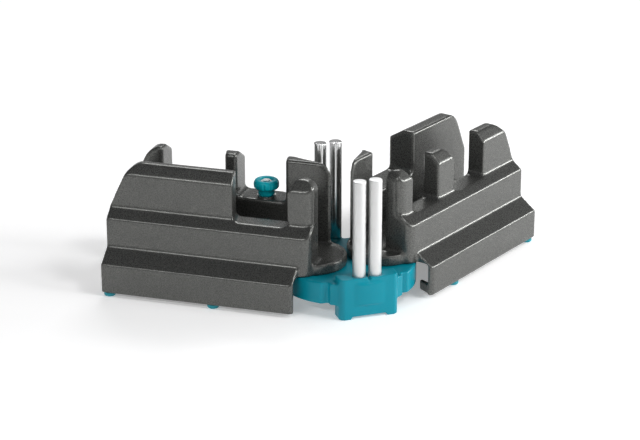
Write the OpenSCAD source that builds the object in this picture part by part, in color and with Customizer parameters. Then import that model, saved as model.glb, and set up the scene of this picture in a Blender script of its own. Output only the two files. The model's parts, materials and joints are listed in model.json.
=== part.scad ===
// Self-bisecting mitre guide: two channel halves turn about their own upright
// pivots on a small base and mesh underneath, so the saw slot between the
// steel guide pins always halves the corner. The origin is on the saw slot,
// midway between the two pivots, at bench level. X runs along the row.

/* [Setting] */
// How far each half is folded back from straight, degrees
fold = 35.3; // [0:0.1:47.5]

/* [Channel] */
// Length of one half, pivot to far end
half_len = 162.4; // [150:0.2:175]
// Distance of each pivot from the saw slot
pivot_x = 30; // [29.5:0.1:31]
// Front wall: inner face, measured from the pivot line
front_in = 8.3; // [7:0.1:9]
// Rear wall: inner face, measured from the pivot line
rear_in = 24.1; // [23.5:0.1:25]
// Front wall: outer face of the skirt, middle step, upper step and top edge
front_steps = [47.7, 33.0, 23.6, 16.2];
// Rear wall: outer face of the skirt, middle step, upper step and top edge
rear_steps = [72.8, 58.1, 48.7, 35.0];
// Heights of the underside and of the six folds of each stepped wall
skirt_z = 3; // [2.5:0.5:4]
ridge_z = [27.5, 38.2, 61.7, 69.1, 97.3, 105.4];
// Height of the channel floor
floor_z = 38.5; // [37:0.5:40]
// Wall thickness of the hollow moulding
wall = 3.6; // [3:0.1:3.8]
// Radius of the round near end
disc_r = 28.5; // [27:0.1:28.8]

/* [Base] */
// Height of the base plate's top
plate_z = 29.5; // [29:0.1:29.5]
// Underside of the base plate's rim
plate_bottom = 11.5; // [11.5:0.1:13]
// Radius of the base plate's outline
plate_r = 56; // [52:0.5:57]
// Half depth of the base plate where the skirts pass it
plate_half = 42.5; // [40:0.5:42.5]
// Half width of the stretch, between the skirts, where the plate is full depth
plate_full = 30.4; // [28:0.2:30.6]
// Half width, front face and height of the front pin block
block = [24.5, 54.5, 34.2];
// Half width and rear face of the rear pin block
rear_block = [12, 54];

/* [Pins and lock] */
// Guide pin radius
pin_r = 5.2; // [4.5:0.1:5.4]
// Guide pin centre, from the saw slot and from the pivot line
pin_at = [6.6, 47.5];
// Height of the pins' tops
pin_top = 112.8; // [100:0.2:120]
// Lock knob's axis, along and across the left half from its pivot
knob_at = [48.5, 34.5];
// Lock knob's largest radius
knob_r = 10.4; // [9:0.1:11]
// Foot radius
foot_r = 4.8; // [4:0.1:5]

/* [Hidden] */
$fn = 64;

body_grey = [0.29, 0.29, 0.28];
teal = [0, 0.58, 0.64];
steel = [0.75, 0.75, 0.76];
eps = 0.01;
over = 200;              // longer than any piece, for cutters that run right through
top_z = ridge_z[5];
disc_z = plate_z + 0.3;  // underside of the halves' discs, just clear of the plate

// pivot stack
boss_r = 9;
bush_r = 11;
bush_gap = 0.05;
flange_r = 14;
flange_t = 1.2;
shoulder_r = 13;
screw_r = 3;
screw_len = 17;
screw_head = [5.5, 4];   // radius and height
hex_socket = [2.9, 2.5]; // radius over its corners and depth
boss_end = 14;
under_washer = [12, 1.5];
gear_top = 21;
bush_end = 21.5;
key = [4, 4];            // width across and depth of the gear key

// gears: pitch circles touch at the saw slot
teeth = 30;
tooth_step = 360 / teeth;
toothed = 7;             // teeth that each sector really has
gear_m = 2 * pivot_x / teeth;
gear_tip = pivot_x + 0.9 * gear_m;
gear_root = pivot_x - 1.25 * gear_m;
gear_base = pivot_x * cos(20);
play = 0.35;             // degrees of play on each side of a tooth
mesh_at = 180 - fold;    // the mating direction, in a half's own frame

disc_rim = 2.6;          // raised rim round the disc's shallow dip
disc_dip = 1;

// plan of the walls at the near end
post_near = -8.5;        // front wall's end face above the disc's underside
skirt_near = 1.2;        // front skirt's end
// near end of the front wall, level by level: [outer face, end face, corner radius, from, to]
near_levels = [[front_steps[0], skirt_near, 4, skirt_z, ridge_z[1]],
    [front_steps[1], post_near, 7, disc_z, ridge_z[3]],
    [front_steps[2], post_near, 7, ridge_z[3], top_z]];
rear_near = -9;          // rear wall's end, then its mitred back
mitre = [[rear_near, 25.5], [20.6, 34.5], [62, rear_steps[0]]];
mitre_inside = [[11.1, rear_in + wall], [22.9, 31.5], [63.3, rear_steps[0] - wall]];
near_arc = 10;           // rounding of the near posts' top corner, towards the saw
near_drop = 7.5;         // and how far below the top it ends
far_bend = [[-11.8, 94.5], [-16.1, 103.6], [-24.9, top_z]];  // far top corner, from the far end
outline_from = -40;      // outlines start and end past the moulding, and are trimmed to it
outline_len = 260;
web = 3;                 // thickness of the round wall round the base plate
web_inset = 1;           // kept inside the moulding's outer faces
plate_clear = [43.5, 45.2];  // what is lower than the disc stays outside these, in front and behind
sweep_clear = 67;        // the lock quadrant's sweep, for the lowest stretch
sweep_front = -25;       // it starts behind this line
toe = [8.7, -31.3];      // inner end of the low wall that closes the front skirt
toe_top = 11.2;          // it passes under the base plate
quad_gap = 2.2;          // room over the lock quadrant
plate_t = 3.5;           // wall of the base plate, open below
block_corner = [4.5, 4]; // corner radii of the front and the rear pin block
pin_seat = 6;            // height of the pins' lower ends
pin_chamfer = 0.5;
saw_nick = [2, 4];       // half width and depth of the nick between the front pins

notch_front_z = 67;
notch_rear_z = 69;
notch_fillet = 4;
// notches as [near side at the inner face, near side outside, far side inside, far side outside]
left_front = [[3.6, 12.7, 60, 57.9]];
left_rear = [[28.9, 33, 70.7, 70.7], [80.2, 86, 134.1, 134.1]];
right_front = [[-3, 9.8, 45.9, 45.9], [58.5, 70, 114, 114]];
right_rear = [[22, 26, 80.2, 80.2]];

// lock
lock_r = norm(knob_at);
lock_from = 180 - atan2(knob_at[1], knob_at[0]);  // slot's end with the halves straight
lock_travel = 47.5;
quad_z = [8.5, 11.3];    // underside and top of the quadrant
quad_margin = 6.5;       // degrees of metal past each end of its slot
quad_edge = 6.4;         // metal outside the slot's middle line
quad_inner = 22;
slot_r = 3.2;
bolt_r = 3;
bolt_head = [6, 3];      // radius and height
clamp = [8, 1.8];
clamp_z = 6.4;
lock_boss_r = 7;
saddle_top = notch_rear_z;
washer_t = 1.5;
knob_z = saddle_top + washer_t;
knob_h = 13.6;
foot_front = 42.3;
foot_rear = 66.5;
left_foot_u = [69, 157];
right_foot_u = [41, 157];
rear_foot_u = 72;
plug_r = 2;              // each foot's plug, pressed up into its boss
plug_h = 4;
foot_boss = [5.2, 14];    // radius and height of the boss over each foot

function step_rise(dv, dz) = (norm([dv, dz]) - dz) / dv;

// Half a stepped wall's outline, (distance from the pivot line, height), inset by t
function wall_outline(v, inner, t) =
    let (a = t * step_rise(v[0] - v[1], ridge_z[1] - ridge_z[0]),
         b = t * step_rise(v[1] - v[2], ridge_z[3] - ridge_z[2]),
         c = t * step_rise(v[2] - v[3], ridge_z[5] - ridge_z[4]))
    [[v[0] - t, t > 0 ? -1 : skirt_z], [v[0] - t, ridge_z[0] - a], [v[1] - t, ridge_z[1] - a],
     [v[1] - t, ridge_z[2] - b], [v[2] - t, ridge_z[3] - b], [v[2] - t, ridge_z[4] - c],
     [v[3] - t * 0.8, ridge_z[5] - t], [inner + t, ridge_z[5] - t], [inner + t, t > 0 ? -1 : skirt_z]];

// Arc of n chords about c, from angle a0 to a1
function arc(c, r, a0, a1, n) =
    [for (i = [0 : n]) let (a = a0 + (a1 - a0) * i / n) c + r * [cos(a), sin(a)]];

// Place a half's own frame (x outward, y to the rear) in the row's frame
module left_half() {
    translate([-pivot_x, 0, 0]) rotate([0, 0, -fold]) mirror([1, 0, 0]) children();
}

module right_half() {
    translate([pivot_x, 0, 0]) rotate([0, 0, fold]) children();
}

// A y-z outline carried along x
module along_x(from, len) {
    translate([from, 0, 0]) rotate([90, 0, 90]) linear_extrude(len) children();
}

// An x-z outline carried along y
module along_y(from, len) {
    translate([0, from + len, 0]) rotate([90, 0, 0]) linear_extrude(len) children();
}

// Smooth corner from a to c, pulled towards b
function bend(a, b, c, n) =
    [for (i = [0 : n]) let (s = i / n) (1 - s) ^ 2 * a + 2 * s * (1 - s) * b + s ^ 2 * c];

// Side view that trims the walls: sloped far end with a rounded top, rounded near top corner
module side_outline(t) {
    r = near_arc;
    far = [for (p = far_bend) p + [half_len - t, -t]];
    polygon(concat(
        [[outline_from, t > 0 ? -1 : skirt_z], [half_len - t, t > 0 ? -1 : skirt_z],
         [half_len - t, ridge_z[3] - t * 0.4]],
        bend(far[0], far[1], far[2], 6),
        arc([post_near + t + r, top_z - t - r], r, 90, 150, 6),
        [[post_near + t, top_z - near_drop - t], [outline_from, top_z - near_drop - t]]));
}

// Room that the front wall fills, level by level, less t all round
module front_prism(t) {
    for (n = near_levels) {
        r = max(n[2] - t, 0.5);
        from = t > 0 ? n[3] - 2 : n[3];
        translate([0, 0, from]) linear_extrude(n[4] - from) polygon(concat(
            [[half_len - t, -front_in - t], [n[1] + t, -front_in - t]],
            arc([n[1] + t + r, -n[0] + t + r], r, 180, 270, 6),
            [[half_len - t, -n[0] + t]]));
    }
}

module rear_plan() {
    polygon(concat([[half_len, rear_in], [rear_near, rear_in]], mitre, [[half_len, rear_steps[0]]]));
}

// The same plan with a wall taken off all round
module rear_plan_inside() {
    polygon(concat([[half_len - wall, rear_in + wall]], mitre_inside,
        [[half_len - wall, rear_steps[0] - wall]]));
}

// Rounded inner corner along a notch's side
module notch_corner(r) {
    difference() {
        translate([-20, -eps, -eps]) cube([80, r, r]);
        translate([-21, r, r]) rotate([0, 90, 0]) cylinder(r = r, h = 82);
    }
}

// Cutter for one notch; side is -1 for the front wall and 1 for the rear; grow thickens its walls
module notch(n, side, z, grow) {
    inner = side * (side < 0 ? front_in : rear_in);
    outer = side * (side < 0 ? front_steps[2] : rear_steps[2]);
    step = (outer - inner) * 0.5;
    near = (n[1] - n[0]) * 0.5;
    far = (n[3] - n[2]) * 0.5;
    difference() {
        translate([0, 0, z - grow]) linear_extrude(over) polygon([
            [n[0] - near - grow * 1.2, inner - step], [n[1] + near - grow * 1.2, outer + step],
            [n[3] + far + grow, outer + step], [n[2] - far + grow, inner - step]]);
        if (grow == 0) {
            turn = atan2(outer - inner, n[1] - n[0]);
            translate([n[0], inner, z]) rotate([0, 0, turn])
                mirror([0, side > 0 ? 1 : 0, 0]) notch_corner(notch_fillet);
            back = atan2(outer - inner, n[3] - n[2]);
            translate([n[2], inner, z]) rotate([0, 0, back])
                mirror([0, side > 0 ? 0 : 1, 0]) notch_corner(notch_fillet);
        }
    }
}

module notches(front, rear, grow) {
    for (n = front) notch(n, -1, notch_front_z, grow);
    for (n = rear) notch(n, 1, notch_rear_z, grow);
}

// Outside of both walls and the floor between them, less the notches
module channel_outside(front, rear) {
    difference() {
        intersection() {
            union() {
                along_x(outline_from, outline_len)
                    mirror([1, 0, 0]) polygon(wall_outline(front_steps, front_in, 0));
                along_x(outline_from, outline_len) polygon(wall_outline(rear_steps, rear_in, 0));
            }
            along_y(-over / 2, over) side_outline(0);
            union() {
                front_prism(0);
                linear_extrude(over) rear_plan();
            }
        }
        notches(front, rear, 0);
    }
    difference() {
        translate([0, -front_in - eps, skirt_z])
            cube([half_len, front_in + rear_in + 2 * eps, floor_z - skirt_z]);
        translate([0, 0, floor_z - disc_dip]) cylinder(r = disc_r - disc_rim, h = over, $fn = 128);
    }
    difference() {
        translate([0, 0, disc_z]) cylinder(r = disc_r, h = floor_z - disc_z, $fn = 128);
        translate([0, 0, floor_z - disc_dip]) cylinder(r = disc_r - disc_rim, h = over, $fn = 128);
    }
}

// Hollow of the moulding, open below
module channel_inside(front, rear) {
    difference() {
        union() {
            intersection() {
                along_x(outline_from, outline_len)
                    mirror([1, 0, 0]) polygon(wall_outline(front_steps, front_in, wall));
                along_y(-over / 2, over) side_outline(wall);
                front_prism(wall);
            }
            intersection() {
                along_x(outline_from, outline_len) polygon(wall_outline(rear_steps, rear_in, wall));
                along_y(-over / 2, over) side_outline(wall);
                translate([0, 0, -1]) linear_extrude(over) rear_plan_inside();
            }
        }
        notches(front, rear, wall);
        translate([0, 0, floor_z - wall]) cylinder(r = disc_r, h = wall);
    }
    translate([-1, -front_in - wall - eps, -1])
        cube([half_len - wall + 1, front_in + rear_in + 2 * wall + 2 * eps, floor_z - wall + 1]);
    translate([0, 0, -1]) cylinder(r = disc_r - wall, h = floor_z - wall + 1);
}

// Boss that turns in the base's bush and carries the gear
module pivot_boss() {
    difference() {
        union() {
            translate([0, 0, boss_end]) cylinder(r = boss_r, h = floor_z - boss_end - 1);
            translate([0, 0, disc_z]) cylinder(r = shoulder_r, h = floor_z - disc_z - 1);
        }
        translate([0, 0, boss_end - 1]) cylinder(r = screw_r, h = screw_len + 1);
        translate([boss_r - key[1] / 2, -key[0] / 2, boss_end - 1])
            cube([key[1], key[0], gear_top - boss_end + 1]);
    }
}

// Plan of the room that the base plate needs below the discs, grown by t
module plate_room(t) {
    circle(r = plate_clear[0] + t, $fn = 128);
    intersection() {
        circle(r = plate_clear[1] + t, $fn = 128);
        translate([-over / 2, 0]) square(over);
    }
}

// Low wall across the front skirt's near end
module toe_wall() {
    translate([0, 0, skirt_z]) linear_extrude(toe_top - skirt_z) polygon([
        [skirt_near + 1, -front_steps[0] + 1], toe, toe + [wall, 0], [skirt_near + 6, -front_steps[0] + 1]]);
}

// Round wall inside the moulding, just outside the base plate
module round_wall() {
    from = quad_z[1] + quad_gap;
    intersection() {
        translate([0, 0, from]) linear_extrude(floor_z - 1 - from) difference() {
            plate_room(web);
            plate_room(0);
        }
        union() {
            front_prism(web_inset);
            linear_extrude(over) rear_plan_inside();
            translate([web_inset, -front_in - wall, 0])
                cube([half_len / 2, front_in + rear_in + 2 * wall, over]);
        }
        along_x(0, half_len / 2) {
            mirror([1, 0, 0]) polygon(wall_outline(front_steps, front_in, web_inset));
            polygon(wall_outline(rear_steps, rear_in, web_inset));
            translate([-front_in - wall, skirt_z]) square([front_in + rear_in + 2 * wall, floor_z]);
        }
    }
}

// Children at a half's four feet; the rear near one stands further out than the front one
module at_feet(front_u) {
    for (u = front_u) {
        translate([u, -foot_front, 0]) children();
        translate([u == front_u[0] ? rear_foot_u : u, foot_rear, 0]) children();
    }
}

module half_channel(front, rear, front_u) {
    difference() {
        union() {
            half_shell(front, rear);
            pivot_boss();
            toe_wall();
            round_wall();
            at_feet(front_u) translate([0, 0, skirt_z]) cylinder(r = foot_boss[0], h = foot_boss[1]);
        }
        at_feet(front_u) cylinder(r = plug_r, h = skirt_z + plug_h + 1);
    }
}

module half_shell(front, rear) {
    difference() {
        channel_outside(front, rear);
        channel_inside(front, rear);
        translate([0, 0, -1]) linear_extrude(disc_z + 1) plate_room(0);
        intersection() {
            translate([0, 0, -1]) cylinder(r = sweep_clear, h = quad_z[1] + quad_gap, $fn = 128);
            translate([-over / 2, sweep_front, -1]) cube(over);
        }
    }
    difference() {
        translate([0, 0, disc_z]) cylinder(r = disc_r, h = floor_z - disc_z - disc_dip, $fn = 128);
        translate([0, 0, -1]) cylinder(r = disc_r - wall, h = floor_z - wall + 1);
    }
}

module feet(front_u) {
    at_feet(front_u) {
        cylinder(r1 = foot_r - 0.6, r2 = foot_r, h = 0.8);
        translate([0, 0, 0.8]) cylinder(r = foot_r, h = skirt_z - 0.8);
        cylinder(r = plug_r, h = skirt_z + plug_h);
    }
}

function involute(r) = tan(acos(gear_base / r)) * 180 / PI - acos(gear_base / r);

function flank(r) = 90 / teeth - play + involute(pivot_x) - involute(r);

module tooth(at) {
    radii = [for (i = [0 : 4]) gear_base + (gear_tip - gear_base) * i / 4];
    polygon(concat(
        [gear_root * [cos(at - flank(gear_base)), sin(at - flank(gear_base))] * 0.97],
        [for (r = radii) r * [cos(at - flank(r)), sin(at - flank(r))]],
        [for (i = [4 : -1 : 0]) radii[i] * [cos(at + flank(radii[i])), sin(at + flank(radii[i]))]],
        [gear_root * [cos(at + flank(gear_base)), sin(at + flank(gear_base))] * 0.97]));
}

// Toothed sector on a round hub, keyed to the half's boss
module gear(first) {
    last = first + (toothed - 1) * tooth_step;
    translate([0, 0, boss_end]) linear_extrude(gear_top - boss_end) difference() {
        union() {
            circle(r = shoulder_r);
            intersection() {
                circle(r = gear_root, $fn = 120);
                polygon(concat([[0, 0]], arc([0, 0], 1.5 * gear_root, first - 5, last + 5, 6)));
            }
            for (i = [0 : toothed - 1]) tooth(first + tooth_step * i);
        }
        circle(r = boss_r);
        translate([boss_r - key[1] / 2, -key[0] / 2]) square(key);
    }
}

module gear_key() {
    translate([boss_r - key[1] / 2, -key[0] / 2, boss_end]) cube([key[1], key[0], gear_top - boss_end]);
}

module pivot_washer() {
    translate([0, 0, boss_end - under_washer[1]]) difference() {
        cylinder(r = under_washer[0], h = under_washer[1]);
        translate([0, 0, -1]) cylinder(r = screw_r, h = 4);
    }
}

module pivot_screw() {
    seat = boss_end - under_washer[1];
    translate([0, 0, seat - screw_head[1]]) difference() {
        cylinder(r = screw_head[0], h = screw_head[1]);
        translate([0, 0, -eps]) cylinder(r = hex_socket[0], h = hex_socket[1], $fn = 6);
    }
    translate([0, 0, seat]) cylinder(r = screw_r, h = screw_len);
}

module bush() {
    difference() {
        union() {
            translate([0, 0, bush_end]) cylinder(r = bush_r, h = plate_z - bush_end);
            translate([0, 0, plate_z - flange_t]) cylinder(r = flange_r, h = flange_t + 0.1);
        }
        translate([0, 0, bush_end - 1]) cylinder(r = boss_r + bush_gap, h = 12);
    }
}

module plate_outline(t) {
    intersection() {
        circle(r = plate_r - t, $fn = 128);
        union() {
            square([over, 2 * (plate_half - t)], center = true);
            translate([-plate_full + t, -over / 2]) square([2 * (plate_full - t), over / 2]);
        }
    }
}

// Rectangle from the plate outwards with two rounded outer corners
module block_outline(half, face, r) {
    translate([-half, -face + r]) square([2 * half, face - r - 30]);
    translate([-half + r, -face]) square([2 * (half - r), r + eps]);
    for (s = [-1, 1]) translate([s * (half - r), -face + r]) circle(r = r);
}

module quadrant_screw_at() {
    for (p = [[-34, 29], [-44, 25]]) translate([p[0], p[1], 0]) children();
}

module base_plate() color(teal) {
    difference() {
        union() {
            difference() {
                translate([0, 0, plate_bottom]) linear_extrude(plate_z - plate_bottom) plate_outline(0);
                translate([0, 0, plate_bottom - 1]) linear_extrude(plate_z - plate_bottom - plate_t + 1)
                    plate_outline(plate_t);
            }
            difference() {
                linear_extrude(block[2]) block_outline(block[0], block[1], block_corner[0]);
                translate([-over / 2, -plate_half + 1.5, -1]) cube([over, over, over]);
            }
            mirror([0, 1, 0]) difference() {
                linear_extrude(plate_z) block_outline(rear_block[0], rear_block[1], block_corner[1]);
                translate([-over / 2, -plate_half + 1.5, -1]) cube([over, over, over]);
            }
            for (s = [-1, 1]) translate([s * pivot_x, 0, bush_end])
                cylinder(r = flange_r, h = plate_z - bush_end - 1);
            quadrant_screw_at() translate([0, 0, plate_bottom])
                cylinder(r = 4, h = plate_z - plate_bottom - 1);
        }
        for (s = [-1, 1]) translate([s * pivot_x, 0, 0]) {
            translate([0, 0, bush_end - 1]) cylinder(r = bush_r, h = 20);
                translate([0, 0, plate_z - flange_t]) cylinder(r = flange_r, h = 5);
        }
        for (s = [-1, 1]) {
            for (y = [-1, 1]) translate([s * pin_at[0], y * pin_at[1], pin_seat]) cylinder(r = pin_r, h = 50);
            // side pockets under the front block
            translate([s * 17.5 - 3, -51, -1]) cube([6, 8, 30]);
        }
        // saw nick between the front pins
        translate([0, -over / 4, block[2] - saw_nick[1]]) rotate([90, 0, 0])
            linear_extrude(over, center = true)
                polygon([[0, 0], [saw_nick[0], saw_nick[1] + 1], [-saw_nick[0], saw_nick[1] + 1]]);
        // the middle of the front block stands clear of the bench
        translate([-14.5, -60, -1]) cube([29, 20, 3]);
        quadrant_screw_at() translate([0, 0, plate_bottom - 1]) cylinder(r = 1.5, h = 11);
    }
}

module pin(sx, sy) color(steel) {
    translate([sx * pin_at[0], sy * pin_at[1], 0]) {
        translate([0, 0, pin_seat]) cylinder(r = pin_r, h = pin_top - pin_seat - pin_chamfer);
        translate([0, 0, pin_top - pin_chamfer])
            cylinder(r1 = pin_r, r2 = pin_r - pin_chamfer, h = pin_chamfer);
    }
}

module front_left_pin() { pin(-1, -1); }
module front_right_pin() { pin(1, -1); }
module rear_left_pin() { pin(-1, 1); }
module rear_right_pin() { pin(1, 1); }

module left_bush() color("goldenrod") translate([-pivot_x, 0, 0]) bush();
module right_bush() color("goldenrod") translate([pivot_x, 0, 0]) bush();

module left_channel() color(body_grey) left_half() difference() {
    union() {
        half_channel(left_front, left_rear, left_foot_u);
        translate([knob_at[0], knob_at[1], quad_z[1] + 0.5])
            cylinder(r = lock_boss_r, h = saddle_top - quad_z[1] - 2.5);
    }
    translate([knob_at[0], knob_at[1], 0]) cylinder(r = bolt_r + 0.05, h = 100);
}

module right_channel() color(body_grey) right_half() half_channel(right_front, right_rear, right_foot_u);

module left_gear() color("dimgray") left_half() gear(mesh_at - 30);
module right_gear() color("dimgray") right_half() gear(mesh_at - 24);
module left_gear_key() color(steel) left_half() gear_key();
module right_gear_key() color(steel) right_half() gear_key();
module left_pivot_washer() color(steel) left_half() pivot_washer();
module right_pivot_washer() color(steel) right_half() pivot_washer();
module left_pivot_screw() color(steel) left_half() pivot_screw();
module right_pivot_screw() color(steel) right_half() pivot_screw();

// Slotted steel sector under the base that the lock bolt clamps
module lock_quadrant() color(steel) {
    from = lock_from - lock_travel;
    difference() {
        translate([-pivot_x, 0, quad_z[0]]) linear_extrude(quad_z[1] - quad_z[0]) difference() {
            polygon(concat(arc([0, 0], lock_r + quad_edge, from - quad_margin, lock_from + quad_margin, 16),
                arc([0, 0], quad_inner, lock_from + quad_margin, from - quad_margin, 6)));
            polygon(concat(arc([0, 0], lock_r + slot_r, from, lock_from, 16),
                arc([0, 0], lock_r - slot_r, lock_from, from, 16)));
            for (a = [from, lock_from]) rotate(a) translate([lock_r, 0]) circle(r = slot_r);
        }
        quadrant_screw_at() cylinder(r = 1.7, h = 20);
    }
}

module quadrant_screws() color(steel) {
    quadrant_screw_at() {
        translate([0, 0, quad_z[0] - 2]) cylinder(r = 3.2, h = 2);
        translate([0, 0, quad_z[0] - eps]) cylinder(r = 1.5, h = 12);
    }
}

module at_knob() {
    left_half() translate([knob_at[0], knob_at[1], 0]) children();
}

module lock_clamp_plate() color(steel) at_knob() difference() {
    translate([0, 0, clamp_z]) cylinder(r = clamp[0], h = clamp[1]);
    cylinder(r = bolt_r, h = 20);
}

module lock_bolt() color(steel) at_knob() {
    translate([0, 0, clamp_z - bolt_head[1]]) cylinder(r = bolt_head[0], h = bolt_head[1]);
    translate([0, 0, clamp_z - eps]) cylinder(r = bolt_r, h = knob_z + knob_h - 1 - clamp_z);
}

module lock_washer() color(steel) at_knob() translate([0, 0, saddle_top]) difference() {
    cylinder(r = 7.6, h = washer_t);
    translate([0, 0, -1]) cylinder(r = bolt_r + 0.3, h = 5);
}

module lock_knob() color(teal) at_knob() translate([0, 0, knob_z]) difference() {
    rotate_extrude($fn = 96) polygon(concat(
        [[4.6, 0], [6.4, 0]],
        arc([6.4, 1], 1, -90, 0, 3),
        [[6.8, 4.2]],
        arc([knob_r - 2.4, 6.9], 2.4, -60, 0, 4),
        arc([knob_r - 3.4, 9.8], 3.4, 0, 90, 6),
        [[5.6, knob_h - 0.4], [5.2, knob_h - 2], [4.6, knob_h - 2]]));
    for (i = [0 : 11]) rotate(30 * i) translate([knob_r + 2.1, 0, 4]) cylinder(r = 2.6, h = 8, $fn = 24);
}

module knob_insert() color(steel) at_knob() translate([0, 0, knob_z]) difference() {
    cylinder(r = 4.6, h = knob_h - 2);
    translate([0, 0, -1]) cylinder(r = bolt_r + 0.05, h = 20);
}

module left_feet() color(teal) left_half() feet(left_foot_u);
module right_feet() color(teal) right_half() feet(right_foot_u);

base_plate();
front_left_pin();
front_right_pin();
rear_left_pin();
rear_right_pin();
left_bush();
right_bush();
left_channel();
right_channel();
left_gear();
right_gear();
left_gear_key();
right_gear_key();
left_pivot_washer();
right_pivot_washer();
left_pivot_screw();
right_pivot_screw();
lock_quadrant();
quadrant_screws();
lock_bolt();
lock_clamp_plate();
lock_washer();
lock_knob();
knob_insert();
left_feet();
right_feet();
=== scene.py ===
import json
import math

import bmesh
import bpy
import numpy as np
from mathutils import Matrix, Vector


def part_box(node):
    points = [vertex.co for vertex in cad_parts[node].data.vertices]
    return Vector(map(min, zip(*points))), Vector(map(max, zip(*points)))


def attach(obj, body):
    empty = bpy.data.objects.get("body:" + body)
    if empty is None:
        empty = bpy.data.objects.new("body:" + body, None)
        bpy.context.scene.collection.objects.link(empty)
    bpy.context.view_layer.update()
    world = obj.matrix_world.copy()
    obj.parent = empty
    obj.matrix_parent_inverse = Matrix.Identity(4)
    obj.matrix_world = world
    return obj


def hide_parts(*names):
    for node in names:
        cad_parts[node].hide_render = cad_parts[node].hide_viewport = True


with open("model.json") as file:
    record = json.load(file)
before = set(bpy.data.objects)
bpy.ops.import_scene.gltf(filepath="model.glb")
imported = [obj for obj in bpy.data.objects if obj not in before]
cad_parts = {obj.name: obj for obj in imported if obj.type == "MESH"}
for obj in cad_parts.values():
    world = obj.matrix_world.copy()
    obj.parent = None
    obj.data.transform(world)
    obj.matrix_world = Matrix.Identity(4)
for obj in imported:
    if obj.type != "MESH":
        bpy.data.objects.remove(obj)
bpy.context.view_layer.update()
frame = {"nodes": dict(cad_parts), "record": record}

# ---------------------------------------------------------------------------
# The two channel halves: hollow injection mouldings in dark grey ABS with a
# fine metallic fleck. Every edge of the tool is radiused, so the long folds
# of the stepped walls catch the light as thin bright lines.
# ---------------------------------------------------------------------------

MM = 0.001
CHANNEL_GRID = 1.32 * MM      # spacing of the skin's points
EASING = 2                    # smoothing passes: they give edges a radius of about 1.5 mm
WELD = 0.002 * MM             # points closer than this are one point
PLATE_REACH = 47 * MM         # radius, round each pivot, of the walls next to the base's plate
PLATE_CLEAR = 43.5 * MM       # radius of the room cut for the plate
PLATE_SPAN = (11.35 * MM, 31 * MM)      # bottom and top of the walls next to the plate
GREY_PLASTIC = "#5A5B59"
GREY_DEEP = "#525351"
FLECK_LIGHT = "#C4C3BC"
FLECK_MM = 0.38               # a real fleck is about 0.2 mm; drawn coarser so that it shows
FLOW_MM = 26                  # width of the moulding's faint flow clouds
SPARK_MM = 0.8                # spark-eroded grain, drawn about twice its real width
NO_FLECK = 0.64               # share of the surface that carries no fleck
FLECK_STRENGTH = 0.22         # how far the brightest fleck goes towards FLECK_LIGHT
SATIN = (0.22, 0.34)          # lowest and highest roughness of the eroded surface
FLAKE_METALLIC = 0.62         # the flake makes the plastic shine partly as a metal does
GRAIN_DEPTH = 0.05 * MM
ABS_IOR = 1.53


def linear(hex_colour):
    """A hex colour as linear RGBA: c / 12.92 below 0.04045, else ((c + 0.055) / 1.055) ** 2.4."""
    srgb = np.array([int(hex_colour[i:i + 2], 16) / 255 for i in (1, 3, 5)])
    low, high = srgb / 12.92, ((srgb + 0.055) / 1.055) ** 2.4
    return (*np.where(srgb <= 0.04045, low, high).tolist(), 1.0)


def add(tree, kind, settings=None, links=None):
    """Adds one node: settings go on its sockets or its own properties, links feed its sockets."""
    node = tree.nodes.new(kind)
    for key, value in (settings or {}).items():
        if isinstance(key, int) or key in node.inputs:
            node.inputs[key].default_value = value
        else:
            setattr(node, key, value)
    for key, source in (links or {}).items():
        tree.links.new(source, node.inputs[key])
    return node


def new_material(name):
    """An empty node material; returns it, its tree, its shader and the Object coordinates."""
    material = bpy.data.materials.new(name)
    material.use_nodes = True
    tree = material.node_tree
    tree.nodes.clear()
    shader = add(tree, "ShaderNodeBsdfPrincipled")
    add(tree, "ShaderNodeOutputMaterial", links={"Surface": shader.outputs["BSDF"]})
    return material, tree, shader, add(tree, "ShaderNodeTexCoord").outputs["Object"]


def flecked_abs():
    """Metallic-fleck ABS from a spark-eroded mould: satin grey, pale sparkle, soft bright edges."""
    material, tree, shader, place = new_material("flecked_grey_abs")
    cells = add(tree, "ShaderNodeTexVoronoi", {"Scale": 1 / (FLECK_MM * MM)}, {"Vector": place})
    lone = add(tree, "ShaderNodeSeparateColor", links={"Color": cells.outputs["Color"]})
    bright = add(tree, "ShaderNodeMapRange", {"From Min": NO_FLECK, "To Max": FLECK_STRENGTH},
                 {"Value": lone.outputs["Red"]})
    flow = add(tree, "ShaderNodeTexNoise", {"Scale": 1 / (FLOW_MM * MM), "Detail": 3.0},
               {"Vector": place})
    base = add(tree, "ShaderNodeMix",
               {"data_type": "RGBA", 6: linear(GREY_DEEP), 7: linear(GREY_PLASTIC)},
               {0: flow.outputs["Fac"]})
    tint = add(tree, "ShaderNodeMix", {"data_type": "RGBA", 7: linear(FLECK_LIGHT)},
               {0: bright.outputs[0], 6: base.outputs[2]})
    grain = add(tree, "ShaderNodeTexNoise", {"Scale": 1 / (SPARK_MM * MM), "Detail": 2.0},
                {"Vector": place})
    rough = add(tree, "ShaderNodeMapRange", {"To Min": SATIN[0], "To Max": SATIN[1]},
                {"Value": grain.outputs["Fac"]})
    bump = add(tree, "ShaderNodeBump", {"Strength": 0.06, "Distance": GRAIN_DEPTH},
               {"Height": grain.outputs["Fac"]})
    tree.links.new(tint.outputs[2], shader.inputs["Base Color"])
    tree.links.new(rough.outputs[0], shader.inputs["Roughness"])
    tree.links.new(bump.outputs["Normal"], shader.inputs["Normal"])
    shader.inputs["Metallic"].default_value = FLAKE_METALLIC
    shader.inputs["IOR"].default_value = ABS_IOR
    return material


def dress(piece, material, body, slot, *nodes):
    """Gives a piece its one material and its body, and hides the CAD nodes it stands for; slot is
    not used.
    """
    piece.data.materials.clear()
    piece.data.materials.append(material)
    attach(piece, body)
    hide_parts(*nodes)


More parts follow.
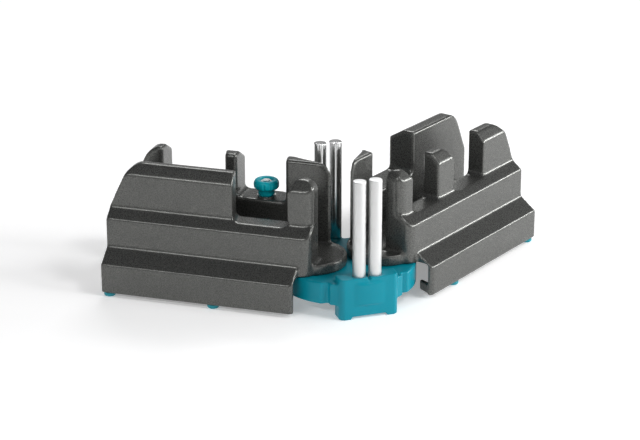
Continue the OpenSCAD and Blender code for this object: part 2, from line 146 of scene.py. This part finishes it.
def skinned(name, source, grid):
    """The mesh that Blender's voxel remesh gives for source: an even skin of quads, grid apart."""
    block = bpy.data.objects.new(name, source)
    bpy.context.scene.collection.objects.link(block)
    voxels = block.modifiers.new("skin", "REMESH")
    voxels.mode = "VOXEL"
    voxels.voxel_size = grid
    finished = block.evaluated_get(bpy.context.evaluated_depsgraph_get())
    mesh = bpy.data.meshes.new_from_object(finished)
    bpy.data.objects.remove(block)
    return mesh


def eased(points, edges, passes):
    """Each pass moves every point half way to the mean of its neighbours, so edges gain a radius."""
    count = np.bincount(edges.ravel(), minlength=len(points))[:, None]
    for _ in range(passes):
        total = np.stack([np.bincount(edges[:, 0], points[edges[:, 1], axis], len(points))
                          + np.bincount(edges[:, 1], points[edges[:, 0], axis], len(points))
                          for axis in range(3)], axis=-1)
        points = (points + total / count) / 2
    return points


def radiused_moulding(node, name, turn, grid, passes, pocket=None):
    """A CAD node's own shape, skinned on a grid square to its walls, with radiused edges.

    The node is turned by -turn about Z, skinned, eased and turned back, so that the long folds
    run along the grid and stay straight. pocket = (axle, reach, clear, low, top) names a room
    round an upright axle, where another piece moves close by. Within reach and below top the
    skin isn't eased. Above low, and at least a grid step below top, a point that lies less than
    a grid step inside the radius clear is pushed straight out to it.
    """
    work = bmesh.new()
    work.from_mesh(frame["nodes"][node].data)
    bmesh.ops.remove_doubles(work, verts=work.verts, dist=WELD)
    bmesh.ops.rotate(work, verts=work.verts, cent=(0, 0, 0),
                     matrix=Matrix.Rotation(-turn, 3, "Z"))
    source = bpy.data.meshes.new(f"{name}_source")
    work.to_mesh(source)
    work.free()
    mesh = skinned(name, source, grid)
    points = np.empty(3 * len(mesh.vertices))
    mesh.vertices.foreach_get("co", points)
    edges = np.empty(2 * len(mesh.edges), dtype=int)
    mesh.edges.foreach_get("vertices", edges)
    raw = points.reshape(-1, 3) @ np.array(Matrix.Rotation(turn, 3, "Z")).T
    points = eased(raw, edges.reshape(-1, 2), passes)
    if pocket:
        axle, reach, clear, low, top = pocket
        arm, level = raw[:, :2] - axle, raw[:, 2]
        far = np.hypot(*arm.T)
        inside = (far < reach) & (level < top)
        points[inside] = raw[inside]
        poking = (far > clear - grid) & (far < clear) & (level > low) & (level < top - grid)
        points[poking, :2] = axle + arm[poking] * (clear / far[poking])[:, None]
    mesh.vertices.foreach_set("co", points.ravel())
    mesh.shade_smooth()
    mesh.update()
    mesh.name = name
    piece = bpy.data.objects.new(name, mesh)
    bpy.context.scene.collection.objects.link(piece)
    return piece


grey_abs = flecked_abs()
swing = {joint["name"]: joint for joint in frame["record"]["behaviour"]["joints"]}
folded = {"left": -math.radians(swing["left_swing"]["range_deg"][1]),
          "right": -math.radians(swing["right_swing"]["range_deg"][0])}
for side in ("left", "right"):
    axle = np.mean(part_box(f"{side}_bush"), axis=0)[:2]
    room = (axle, PLATE_REACH, PLATE_CLEAR, *PLATE_SPAN)
    moulding = radiused_moulding(f"{side}_channel", f"{side}_channel_moulding", folded[side],
                                 CHANNEL_GRID, EASING, room)
    dress(moulding, grey_abs, f"{side}_half", "channel_grey", f"{side}_channel")

# ---------------------------------------------------------------------------
# The base: a teal ABS moulding, glossier than the halves, with the two pin
# blocks in one piece with the round plate. Its rims are lightly radiused.
# ---------------------------------------------------------------------------

TEAL = "#008DA0"
TEAL_DEEP = "#008496"
BASE_GRID = 0.8 * MM
PEEL_MM = 1.6                 # width of the orange peel that a polished mould leaves
PEEL_SPREAD = (0.05, 0.07)    # how far its roughness falls below and rises above the mean
SPECULAR = 0.22


def glossy_abs(name, pale, deep, roughness):
    """Plain ABS or acetal from a polished mould: even colour, faint flow clouds, orange peel."""
    material, tree, shader, place = new_material(name)
    flow = add(tree, "ShaderNodeTexNoise", {"Scale": 1 / (FLOW_MM * MM), "Detail": 2.0},
               {"Vector": place})
    tint = add(tree, "ShaderNodeMix", {"data_type": "RGBA", 6: linear(deep), 7: linear(pale)},
               {0: flow.outputs["Fac"]})
    peel = add(tree, "ShaderNodeTexNoise", {"Scale": 1 / (PEEL_MM * MM), "Detail": 2.0},
               {"Vector": place})
    rough = add(tree, "ShaderNodeMapRange",
                {"To Min": roughness - PEEL_SPREAD[0], "To Max": roughness + PEEL_SPREAD[1]},
                {"Value": peel.outputs["Fac"]})
    bump = add(tree, "ShaderNodeBump", {"Strength": 0.1, "Distance": GRAIN_DEPTH},
               {"Height": peel.outputs["Fac"]})
    tree.links.new(tint.outputs[2], shader.inputs["Base Color"])
    tree.links.new(rough.outputs[0], shader.inputs["Roughness"])
    tree.links.new(bump.outputs["Normal"], shader.inputs["Normal"])
    shader.inputs["IOR"].default_value = ABS_IOR
    shader.inputs["Specular IOR Level"].default_value = SPECULAR
    return material


teal_abs = glossy_abs("polished_teal_abs", TEAL, TEAL_DEEP, roughness=0.32)
base = radiused_moulding("base_plate", "base_plate_moulding", 0, BASE_GRID, EASING)
dress(base, teal_abs, "base", "base_plastic", "base_plate")

# ---------------------------------------------------------------------------
# The four guide pins: drawn steel rod, cropped and chamfered, zinc plated. The
# front pair is dull and lightly mottled; the rear pair is bright.
# ---------------------------------------------------------------------------

PIN_CHAMFER = 0.55 * MM
PIN_SIDES = 64
CHAMFER_RINGS = 5
PIN_CREASE = 32               # degrees; folds sharper than this stay sharp
ZINC_PALE = "#E8E8E6"
DRAWN_MM = 0.7                # spacing of the drawing lines; the real ones are too fine to show
DRAWN_SQUEEZE = 0.06          # draws them out along the rod
DRAWN_DEPTH = 0.03 * MM
CLOUD_GLOSS = (0.75, 1.3)     # roughness of the zinc's bright and dull clouds, times the mean


def turned(name, profile, centre, sides):
    """A solid of revolution: point(s, a) = centre + (r(s) cos a, r(s) sin a, z(s)).

    profile is the (r, z) polyline from the axis below to the axis above; its two ends, on the
    axis, close as one vertex each.
    """
    rings = np.array(profile[1:-1])
    angle = np.linspace(0, 2 * math.pi, sides, endpoint=False)
    points = np.stack([rings[:, :1] * np.cos(angle), rings[:, :1] * np.sin(angle),
                       np.repeat(rings[:, 1:], sides, axis=1)], axis=-1).reshape(-1, 3)
    poles = np.array([[0, 0, profile[0][1]], [0, 0, profile[-1][1]]])
    ring, step = np.meshgrid(np.arange(len(rings) - 1), np.arange(sides), indexing="ij")
    near, ahead = ring * sides + step, ring * sides + (step + 1) % sides
    quads = np.stack([near, ahead, ahead + sides, near + sides], axis=-1).reshape(-1, 4)
    turn = np.arange(sides)
    last = (len(rings) - 1) * sides
    bottom = np.stack([np.full(sides, len(points)), (turn + 1) % sides, turn], axis=-1)
    top = np.stack([np.full(sides, len(points) + 1), last + turn, last + (turn + 1) % sides],
                   axis=-1)
    mesh = bpy.data.meshes.new(name)
    mesh.from_pydata(np.vstack([points, poles]) + np.array(centre), [],
                     [*quads.tolist(), *bottom.tolist(), *top.tolist()])
    mesh.shade_smooth()
    mesh.set_sharp_from_angle(angle=math.radians(PIN_CREASE))
    piece = bpy.data.objects.new(name, mesh)
    bpy.context.scene.collection.objects.link(piece)
    return piece


def rounded_rod(radius, low, high, bend):
    """A rod's (r, z) profile whose two rims are quarter circles of radius bend."""
    quarter = np.linspace(0, math.pi / 2, CHAMFER_RINGS)
    foot = [(radius - bend + bend * math.sin(a), low + bend - bend * math.cos(a)) for a in quarter]
    head = [(radius - bend + bend * math.cos(a), high - bend + bend * math.sin(a)) for a in quarter]
    return [(0, low), *foot, *head, (0, high)]


def plated_steel(name, colour, roughness, mottle_mm, drawn):
    """Steel under thin zinc: clouded gloss, and fine drawing lines along each rod."""
    material, tree, shader, place = new_material(name)
    cloud = add(tree, "ShaderNodeTexNoise",
                {"Scale": 1 / (mottle_mm * MM), "Detail": 4.0, "Roughness": 0.6}, {"Vector": place})
    squeeze = add(tree, "ShaderNodeMapping", {"Scale": (1, 1, DRAWN_SQUEEZE)}, {"Vector": place})
    lines = add(tree, "ShaderNodeTexNoise", {"Scale": 1 / (DRAWN_MM * MM), "Detail": 2.0},
                {"Vector": squeeze.outputs["Vector"]})
    tint = add(tree, "ShaderNodeMix",
               {"data_type": "RGBA", 6: linear(colour), 7: linear(ZINC_PALE)},
               {0: cloud.outputs["Fac"]})
    rough = add(tree, "ShaderNodeMapRange",
                {"From Min": 0.3, "From Max": 0.7,
                 "To Min": roughness * CLOUD_GLOSS[0], "To Max": roughness * CLOUD_GLOSS[1]},
                {"Value": cloud.outputs["Fac"]})
    bump = add(tree, "ShaderNodeBump", {"Strength": drawn, "Distance": DRAWN_DEPTH},
               {"Height": lines.outputs["Fac"]})
    tree.links.new(tint.outputs[2], shader.inputs["Base Color"])
    tree.links.new(rough.outputs[0], shader.inputs["Roughness"])
    tree.links.new(bump.outputs["Normal"], shader.inputs["Normal"])
    shader.inputs["Metallic"].default_value = 1.0
    return material


satin_pin = plated_steel("dull_zinc_steel", "#DADBDC", roughness=0.5, mottle_mm=5, drawn=0.25)
bright_pin = plated_steel("bright_drawn_steel", "#CFD0D2", roughness=0.2, mottle_mm=9, drawn=0.15)
for row, steel in (("front", satin_pin), ("rear", bright_pin)):
    for side in ("left", "right"):
        node = f"{row}_{side}_pin"
        low, high = (np.array(corner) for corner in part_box(node))
        middle = (low + high) / 2
        radius = (high[0] - low[0]) / 2
        rod = turned(f"{node}_rod", rounded_rod(radius, low[2], high[2], PIN_CHAMFER),
                     (middle[0], middle[1], 0), PIN_SIDES)
        dress(rod, steel, "base", "pin_steel", node)

# ---------------------------------------------------------------------------
# The lock knob: teal ABS moulded over a threaded steel insert. Its skirt has
# twelve finger scallops, and its top dips to the end of the bolt.
# ---------------------------------------------------------------------------

SCALLOPS = 12
SCALLOP_DEPTH = 0.4 * MM
SCALLOP_RISE = (0.36, 0.2)    # height where the scallops begin, and how long they deepen
SCALLOP_FADE = (0.97, 0.15)   # height where they end, and how long they fade
SCALLOP_INNER = 0.7           # nearer the axle than this, as a share of the radius, none is cut
KNOB_SIDES = 192
KNOB_ROWS = 60
KNOB_CREASE = 60              # degrees
KNOB_TEAL = "#00CEDC"
KNOB_OUTLINE = (              # (radius, height) as shares of the whole: neck, head, dished crown
    (0.60, 0), (0.655, 0.06), (0.66, 0.30), (0.72, 0.38), (0.90, 0.44), (0.985, 0.52),
    (1, 0.62), (1, 0.74), (0.975, 0.85), (0.90, 0.94), (0.80, 0.99), (0.72, 1),
    (0.62, 0.985), (0.50, 0.94))
KNOB_MOUTH = 0.88             # height at which the crown's dish meets the insert


def smooth_step(t):
    """0 below 0, 1 above 1 and 3 t^2 - 2 t^3 between."""
    t = np.clip(t, 0, 1)
    return t * t * (3 - 2 * t)


def knob_surface(name, node, insert):
    """Knob skin: r(s, a) = r(s) - depth * w(s) * max(0, cos 12a)^2, carried round the bolt's axis.

    w rises smoothly from 0 on the neck to 1 on the head's widest band, and back to 0 at the crown.
    """
    low, high = (np.array(corner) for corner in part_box(node))
    axis = (low + high)[:2] / 2
    full, base, tall = (high[0] - low[0]) / 2, low[2], high[2] - low[2]
    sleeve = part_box(insert)
    bore = (sleeve[1][0] - sleeve[0][0]) / 2
    outline = np.array(KNOB_OUTLINE) * (full, tall) + (0, base)
    corner = np.vstack([(bore, base), outline, (bore, base + KNOB_MOUTH * tall)])
    way = np.r_[0, np.cumsum(np.linalg.norm(np.diff(corner, axis=0), axis=1))]
    along = np.linspace(0, way[-1], KNOB_ROWS)
    radius, height = np.interp(along, way, corner[:, 0]), np.interp(along, way, corner[:, 1])
    angle = np.linspace(0, 2 * math.pi, KNOB_SIDES, endpoint=False)
    level = (height - base) / tall
    weight = (smooth_step((level - SCALLOP_RISE[0]) / SCALLOP_RISE[1])
              * smooth_step((SCALLOP_FADE[0] - level) / SCALLOP_FADE[1])
              * (radius > SCALLOP_INNER * full))
    cut = SCALLOP_DEPTH * weight[:, None] * np.clip(np.cos(SCALLOPS * angle), 0, 1) ** 2
    reach = radius[:, None] - cut
    points = np.stack([axis[0] + reach * np.cos(angle), axis[1] + reach * np.sin(angle),
                       np.repeat(height[:, None], KNOB_SIDES, axis=1)], axis=-1).reshape(-1, 3)
    ring, step = np.meshgrid(np.arange(KNOB_ROWS), np.arange(KNOB_SIDES), indexing="ij")
    row, above = ring * KNOB_SIDES, (ring + 1) % KNOB_ROWS * KNOB_SIDES
    ahead = (step + 1) % KNOB_SIDES
    quads = np.stack([row + step, row + ahead, above + ahead, above + step], axis=-1)
    mesh = bpy.data.meshes.new(name)
    mesh.from_pydata(points, [], quads.reshape(-1, 4).tolist())
    mesh.shade_smooth()
    mesh.set_sharp_from_angle(angle=math.radians(KNOB_CREASE))
    piece = bpy.data.objects.new(name, mesh)
    bpy.context.scene.collection.objects.link(piece)
    return piece


knob_abs = glossy_abs("moulded_teal_knob_abs", KNOB_TEAL, TEAL_DEEP, roughness=0.3)
knob = knob_surface("lock_knob_moulding", "lock_knob", "knob_insert")
dress(knob, knob_abs, "knob", "knob_plastic", "lock_knob")

# ---------------------------------------------------------------------------
# Small steel parts: bolt, washers, screws, keys, clamp plate, quadrant and the
# knob's insert. They are zinc plated, and stay in their CAD shapes.
# ---------------------------------------------------------------------------

zinc = plated_steel("zinc_plated_steel", "#AEB0B2", roughness=0.28, mottle_mm=4, drawn=0.1)


def refinish(material, *nodes):
    """Puts one material on CAD nodes that keep their own shapes."""
    for node in nodes:
        for slot in frame["nodes"][node].material_slots:
            slot.material = material


refinish(zinc, "lock_bolt", "lock_washer", "lock_clamp_plate", "lock_quadrant", "quadrant_screws",
         "knob_insert", "left_pivot_washer", "right_pivot_washer", "left_pivot_screw",
         "right_pivot_screw", "left_gear_key", "right_gear_key")

# ---------------------------------------------------------------------------
# The pivots: sintered bronze bushes pressed into the base, and toothed sectors
# moulded in black acetal, which are keyed to the halves' bosses underneath.
# ---------------------------------------------------------------------------

BRONZE = "#A9783F"
BRONZE_DEEP = "#5E3F1E"
PORE_MM = 0.4
ACETAL = "#232426"
ACETAL_DEEP = "#1B1C1E"


def sintered_bronze():
    """Oil-filled sintered bronze: warm metal, dulled and darkened by its open pores."""
    material, tree, shader, place = new_material("sintered_bronze")
    pores = add(tree, "ShaderNodeTexVoronoi", {"Scale": 1 / (PORE_MM * MM)}, {"Vector": place})
    tint = add(tree, "ShaderNodeMix",
               {"data_type": "RGBA", 6: linear(BRONZE_DEEP), 7: linear(BRONZE)},
               {0: pores.outputs["Distance"]})
    bump = add(tree, "ShaderNodeBump", {"Strength": 0.3, "Distance": GRAIN_DEPTH},
               {"Height": pores.outputs["Distance"]})
    tree.links.new(tint.outputs[2], shader.inputs["Base Color"])
    tree.links.new(bump.outputs["Normal"], shader.inputs["Normal"])
    shader.inputs["Metallic"].default_value = 1.0
    shader.inputs["Roughness"].default_value = 0.42
    return material


refinish(sintered_bronze(), "left_bush", "right_bush")
refinish(glossy_abs("black_acetal", ACETAL, ACETAL_DEEP, roughness=0.38),
         "left_gear", "right_gear")

# ---------------------------------------------------------------------------
# The eight feet: teal thermoplastic rubber buttons plugged up into the halves,
# with a small rounded rim where they meet the bench.
# ---------------------------------------------------------------------------

TEAL_RUBBER = "#0A97A6"
RUBBER_DEEP = "#08808D"
DUST_MM = 0.6
DUST_DEPTH = 0.04 * MM


def moulded_rubber():
    """Thermoplastic rubber: matt, a little paler at grazing angles, with a fine dusty grain."""
    material, tree, shader, place = new_material("teal_rubber")
    dust = add(tree, "ShaderNodeTexNoise", {"Scale": 1 / (DUST_MM * MM), "Detail": 3.0},
               {"Vector": place})
    tint = add(tree, "ShaderNodeMix",
               {"data_type": "RGBA", 6: linear(RUBBER_DEEP), 7: linear(TEAL_RUBBER)},
               {0: dust.outputs["Fac"]})
    bump = add(tree, "ShaderNodeBump", {"Strength": 0.2, "Distance": DUST_DEPTH},
               {"Height": dust.outputs["Fac"]})
    tree.links.new(tint.outputs[2], shader.inputs["Base Color"])
    tree.links.new(bump.outputs["Normal"], shader.inputs["Normal"])
    shader.inputs["Roughness"].default_value = 0.62
    shader.inputs["Sheen Weight"].default_value = 0.15
    return material


refinish(moulded_rubber(), "left_feet", "right_feet")

# ---------------------------------------------------------------------------
# Studio: a plain white paper floor, a key light, two long strips that the folds
# reflect, a light over the slopes, one behind, and a bright band round the room.
# ---------------------------------------------------------------------------

FLOOR_HALF = 6.0
FLOOR_WHITE = "#FAFAFA"
FLOOR_GLOW = 0.29             # the paper gives off a little light of its own, to stay white
ROOM_BRIGHT, ROOM_DIM = (1, 1, 1, 1), (0.2, 0.2, 0.21, 1)
ROOM_BAND = (0.05, 0.5)       # heights where the bright band ends and the dim ceiling begins
ROOM_STRENGTH = 0.46
LENS_MM, SENSOR_MM = 123.17, 36.0
CAMERA_PLACE = (-0.5435, -1.5385, 0.6952)
CAMERA_TURN = (68.8, 0, -18.7)          # degrees
TARGET = (0, 0.05, 0.05)                # the object's middle, which every light faces

floor_mesh = bpy.data.meshes.new("floor")
corners = np.array([(-1, -1, 0), (1, -1, 0), (1, 1, 0), (-1, 1, 0)]) * FLOOR_HALF
floor_mesh.from_pydata(corners, [], [(0, 1, 2, 3)])
floor = bpy.data.objects.new("floor", floor_mesh)
bpy.context.scene.collection.objects.link(floor)
paper, _, paper_shader, _ = new_material("white_paper")
paper_shader.inputs["Base Color"].default_value = linear(FLOOR_WHITE)
paper_shader.inputs["Roughness"].default_value = 0.95
paper_shader.inputs["Emission Color"].default_value = ROOM_BRIGHT
paper_shader.inputs["Emission Strength"].default_value = FLOOR_GLOW
floor.data.materials.append(paper)

camera_data = bpy.data.cameras.new("camera")
camera_data.lens = LENS_MM
camera_data.sensor_width = SENSOR_MM
camera = bpy.data.objects.new("camera", camera_data)
camera.location = CAMERA_PLACE
camera.rotation_euler = [math.radians(angle) for angle in CAMERA_TURN]
bpy.context.scene.collection.objects.link(camera)
bpy.context.scene.camera = camera


def softbox(name, place, size, watts):
    """An area light aimed from place at the object's middle."""
    data = bpy.data.lights.new(name, "AREA")
    data.shape = "RECTANGLE"
    data.size, data.size_y = size
    data.energy = watts
    lamp = bpy.data.objects.new(name, data)
    lamp.location = place
    lamp.rotation_euler = (Vector(TARGET) - Vector(place)).to_track_quat("-Z", "Y").to_euler()
    bpy.context.scene.collection.objects.link(lamp)


softbox("key", (1.75, -1.2, 0.9), (0.8, 0.7), 24)
softbox("fold_light_left", (-1.4, -1.2, 1.35), (1.2, 0.12), 11)
softbox("fold_light_right", (2.0, -0.1, 0.6), (1.3, 0.2), 20)
softbox("slope_light", (0.75, -0.9, 1.7), (0.5, 0.3), 9)
softbox("back", (0.6, 1.5, 1.5), (1.2, 0.5), 14)

world = bpy.data.worlds.new("studio")
bpy.context.scene.world = world
world.use_nodes = True
sky = world.node_tree
direction = add(sky, "ShaderNodeTexCoord").outputs["Generated"]
height = add(sky, "ShaderNodeSeparateXYZ", links={0: direction})
band = add(sky, "ShaderNodeValToRGB", links={"Fac": height.outputs["Z"]})
for stop, colour, place in zip(band.color_ramp.elements, (ROOM_BRIGHT, ROOM_DIM), ROOM_BAND):
    stop.color, stop.position = colour, place
sky.links.new(band.outputs["Color"], sky.nodes["Background"].inputs["Color"])
sky.nodes["Background"].inputs["Strength"].default_value = ROOM_STRENGTH
bpy.context.scene.view_settings.view_transform = "Standard"
